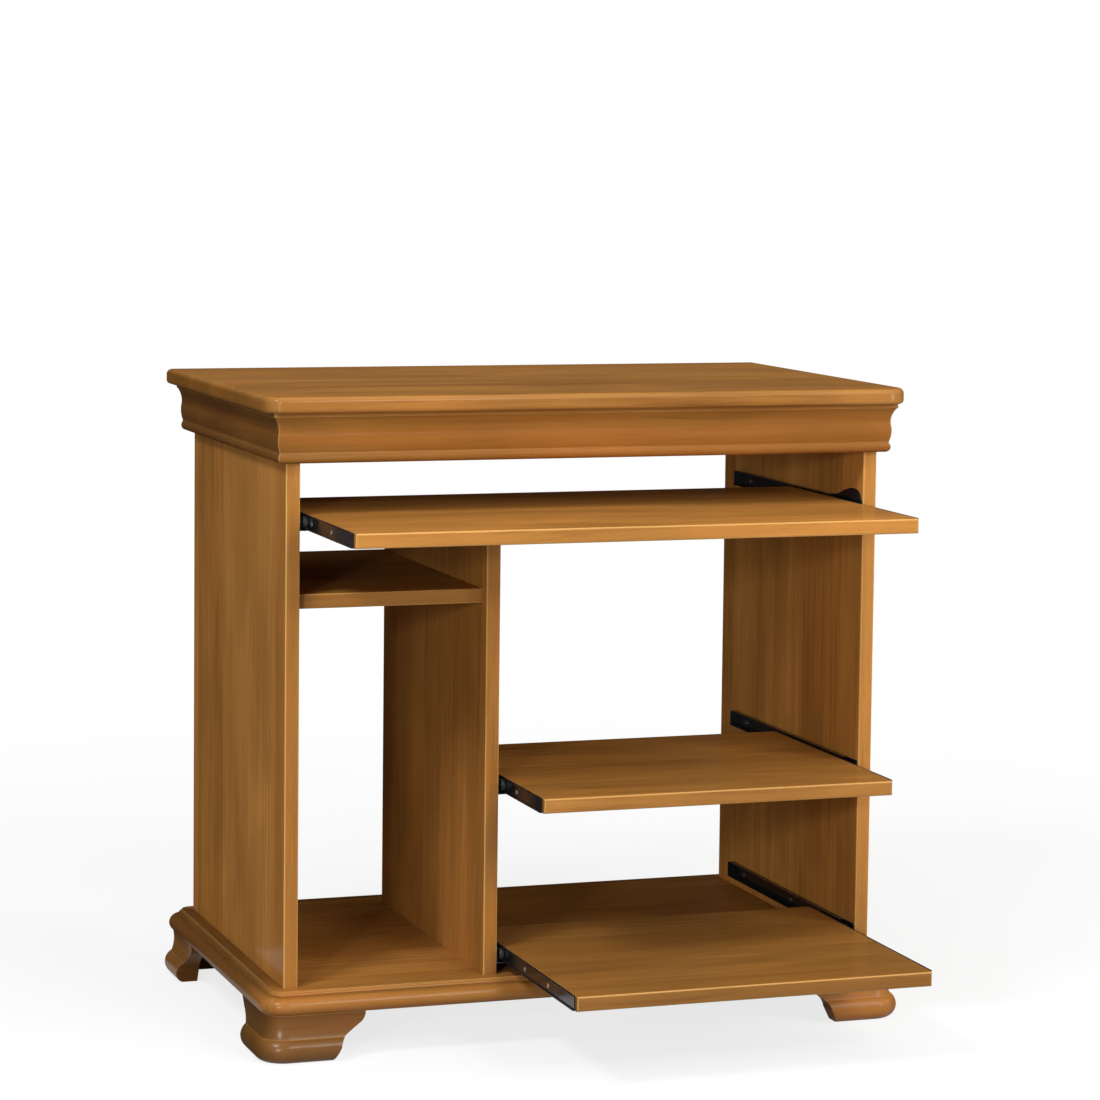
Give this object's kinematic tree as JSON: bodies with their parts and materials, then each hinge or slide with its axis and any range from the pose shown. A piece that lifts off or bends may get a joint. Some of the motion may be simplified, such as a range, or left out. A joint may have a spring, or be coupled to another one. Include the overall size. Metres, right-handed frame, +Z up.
{
  "type": "computer cabinet",
  "caption": "Open-backed wooden computer desk with a moulded top, base and bracket feet, a fixed tower bay and drawn-out shelves for keyboard, papers and printer on steel slides.",
  "frame": {"origin": "on the floor, in the middle of the outline with the shelves drawn out as in the picture", "axes": "+X to the right across the front, +Y towards the back, +Z up"},
  "size_m": [0.8454, 0.7657, 0.804],
  "materials": {
    "cherry_wood": "stained and lacquered, satin",
    "black_steel": "black enamel",
    "black_nylon": "moulded",
    "zinc_steel": "bright zinc plate",
    "beech_dowel": "bare"
  },
  "bodies": {
    "cabinet": {"top_panel": "cherry_wood", "cornice_front": "cherry_wood", "cornice_left": "cherry_wood", "cornice_right": "cherry_wood", "top_rail_front": "cherry_wood", "top_rail_back": "cherry_wood", "side_panel_left": "cherry_wood", "side_panel_right": "cherry_wood", "divider_panel": "cherry_wood", "tower_shelf": "cherry_wood", "bottom_panel": "cherry_wood", "base_moulding_front": "cherry_wood", "base_moulding_back": "cherry_wood", "base_moulding_left": "cherry_wood", "base_moulding_right": "cherry_wood", "foot_front_left": "cherry_wood", "foot_front_right": "cherry_wood", "foot_back_right": "cherry_wood", "foot_back_left": "cherry_wood", "tower_shelf_dowels": "beech_dowel", "top_rail_dowels": "beech_dowel", "carcass_screws": "zinc_steel", "top_screws": "zinc_steel", "foot_screws": "zinc_steel", "keyboard_tray_runner_left": "black_steel", "keyboard_tray_runner_right": "black_steel", "keyboard_tray_runner_screws": "zinc_steel", "middle_shelf_runner_left": "black_steel", "middle_shelf_runner_right": "black_steel", "middle_shelf_runner_screws": "zinc_steel", "printer_shelf_runner_left": "black_steel", "printer_shelf_runner_right": "black_steel", "printer_shelf_runner_screws": "zinc_steel"},
    "keyboard_tray": {"keyboard_tray_board": "cherry_wood", "keyboard_tray_slide_left": "black_steel", "keyboard_tray_slide_right": "black_steel", "keyboard_tray_slide_screws": "zinc_steel"},
    "middle_shelf": {"middle_shelf_board": "cherry_wood", "middle_shelf_slide_left": "black_steel", "middle_shelf_slide_right": "black_steel", "middle_shelf_slide_screws": "zinc_steel"},
    "printer_shelf": {"printer_shelf_board": "cherry_wood", "printer_shelf_slide_left": "black_steel", "printer_shelf_slide_right": "black_steel", "printer_shelf_slide_screws": "zinc_steel"},
    "keyboard_tray_front_roller_left": {"keyboard_tray_front_roller_left": "black_nylon"},
    "keyboard_tray_back_roller_left": {"keyboard_tray_back_roller_left": "black_nylon"},
    "keyboard_tray_front_roller_right": {"keyboard_tray_front_roller_right": "black_nylon"},
    "keyboard_tray_back_roller_right": {"keyboard_tray_back_roller_right": "black_nylon"},
    "middle_shelf_front_roller_left": {"middle_shelf_front_roller_left": "black_nylon"},
    "middle_shelf_back_roller_left": {"middle_shelf_back_roller_left": "black_nylon"},
    "middle_shelf_front_roller_right": {"middle_shelf_front_roller_right": "black_nylon"},
    "middle_shelf_back_roller_right": {"middle_shelf_back_roller_right": "black_nylon"},
    "printer_shelf_front_roller_left": {"printer_shelf_front_roller_left": "black_nylon"},
    "printer_shelf_back_roller_left": {"printer_shelf_back_roller_left": "black_nylon"},
    "printer_shelf_front_roller_right": {"printer_shelf_front_roller_right": "black_nylon"},
    "printer_shelf_back_roller_right": {"printer_shelf_back_roller_right": "black_nylon"}
  },
  "joints": [
    {"name": "keyboard_tray_slide", "type": "slide", "parent": "cabinet", "child": "keyboard_tray", "axis": [0, -1, 0], "range_m": [-0.196, 0.104]},
    {"name": "middle_shelf_slide", "type": "slide", "parent": "cabinet", "child": "middle_shelf", "axis": [0, -1, 0], "range_m": [-0.135, 0.155]},
    {"name": "printer_shelf_slide", "type": "slide", "parent": "cabinet", "child": "printer_shelf", "axis": [0, -1, 0], "range_m": [-0.26, 0.03]},
    {"name": "keyboard_tray_front_roller_left_spin", "type": "hinge", "parent": "cabinet", "child": "keyboard_tray_front_roller_left", "pos_m": [-0.3586, -0.1085, 0.65], "axis": [1, 0, 0], "continuous": true},
    {"name": "keyboard_tray_back_roller_left_spin", "type": "hinge", "parent": "keyboard_tray", "child": "keyboard_tray_back_roller_left", "pos_m": [-0.36, 0.0705, 0.6505], "axis": [1, 0, 0], "continuous": true},
    {"name": "keyboard_tray_front_roller_right_spin", "type": "hinge", "parent": "cabinet", "child": "keyboard_tray_front_roller_right", "pos_m": [0.3586, -0.1085, 0.65], "axis": [1, 0, 0], "continuous": true},
    {"name": "keyboard_tray_back_roller_right_spin", "type": "hinge", "parent": "keyboard_tray", "child": "keyboard_tray_back_roller_right", "pos_m": [0.36, 0.0705, 0.6505], "axis": [1, 0, 0], "continuous": true},
    {"name": "middle_shelf_front_roller_left_spin", "type": "hinge", "parent": "cabinet", "child": "middle_shelf_front_roller_left", "pos_m": [-0.1051, -0.1085, 0.318], "axis": [1, 0, 0], "continuous": true},
    {"name": "middle_shelf_back_roller_left_spin", "type": "hinge", "parent": "middle_shelf", "child": "middle_shelf_back_roller_left", "pos_m": [-0.1065, 0.1075, 0.3185], "axis": [1, 0, 0], "continuous": true},
    {"name": "middle_shelf_front_roller_right_spin", "type": "hinge", "parent": "cabinet", "child": "middle_shelf_front_roller_right", "pos_m": [0.3586, -0.1085, 0.318], "axis": [1, 0, 0], "continuous": true},
    {"name": "middle_shelf_back_roller_right_spin", "type": "hinge", "parent": "middle_shelf", "child": "middle_shelf_back_roller_right", "pos_m": [0.36, 0.1075, 0.3185], "axis": [1, 0, 0], "continuous": true},
    {"name": "printer_shelf_front_roller_left_spin", "type": "hinge", "parent": "cabinet", "child": "printer_shelf_front_roller_left", "pos_m": [-0.1051, -0.1085, 0.107], "axis": [1, 0, 0], "continuous": true},
    {"name": "printer_shelf_back_roller_left_spin", "type": "hinge", "parent": "printer_shelf", "child": "printer_shelf_back_roller_left", "pos_m": [-0.1065, -0.0175, 0.1075], "axis": [1, 0, 0], "continuous": true},
    {"name": "printer_shelf_front_roller_right_spin", "type": "hinge", "parent": "cabinet", "child": "printer_shelf_front_roller_right", "pos_m": [0.3586, -0.1085, 0.107], "axis": [1, 0, 0], "continuous": true},
    {"name": "printer_shelf_back_roller_right_spin", "type": "hinge", "parent": "printer_shelf", "child": "printer_shelf_back_roller_right", "pos_m": [0.36, -0.0175, 0.1075], "axis": [1, 0, 0], "continuous": true}
  ],
  "couplings": [
    {"joint": "keyboard_tray_front_roller_left_spin", "follows": "keyboard_tray_slide", "rad_per_m": 129.87},
    {"joint": "keyboard_tray_back_roller_left_spin", "follows": "keyboard_tray_slide", "rad_per_m": 119.05},
    {"joint": "keyboard_tray_front_roller_right_spin", "follows": "keyboard_tray_slide", "rad_per_m": 129.87},
    {"joint": "keyboard_tray_back_roller_right_spin", "follows": "keyboard_tray_slide", "rad_per_m": 119.05},
    {"joint": "middle_shelf_front_roller_left_spin", "follows": "middle_shelf_slide", "rad_per_m": 129.87},
    {"joint": "middle_shelf_back_roller_left_spin", "follows": "middle_shelf_slide", "rad_per_m": 119.05},
    {"joint": "middle_shelf_front_roller_right_spin", "follows": "middle_shelf_slide", "rad_per_m": 129.87},
    {"joint": "middle_shelf_back_roller_right_spin", "follows": "middle_shelf_slide", "rad_per_m": 119.05},
    {"joint": "printer_shelf_front_roller_left_spin", "follows": "printer_shelf_slide", "rad_per_m": 129.87},
    {"joint": "printer_shelf_back_roller_left_spin", "follows": "printer_shelf_slide", "rad_per_m": 119.05},
    {"joint": "printer_shelf_front_roller_right_spin", "follows": "printer_shelf_slide", "rad_per_m": 129.87},
    {"joint": "printer_shelf_back_roller_right_spin", "follows": "printer_shelf_slide", "rad_per_m": 119.05}
  ]
}
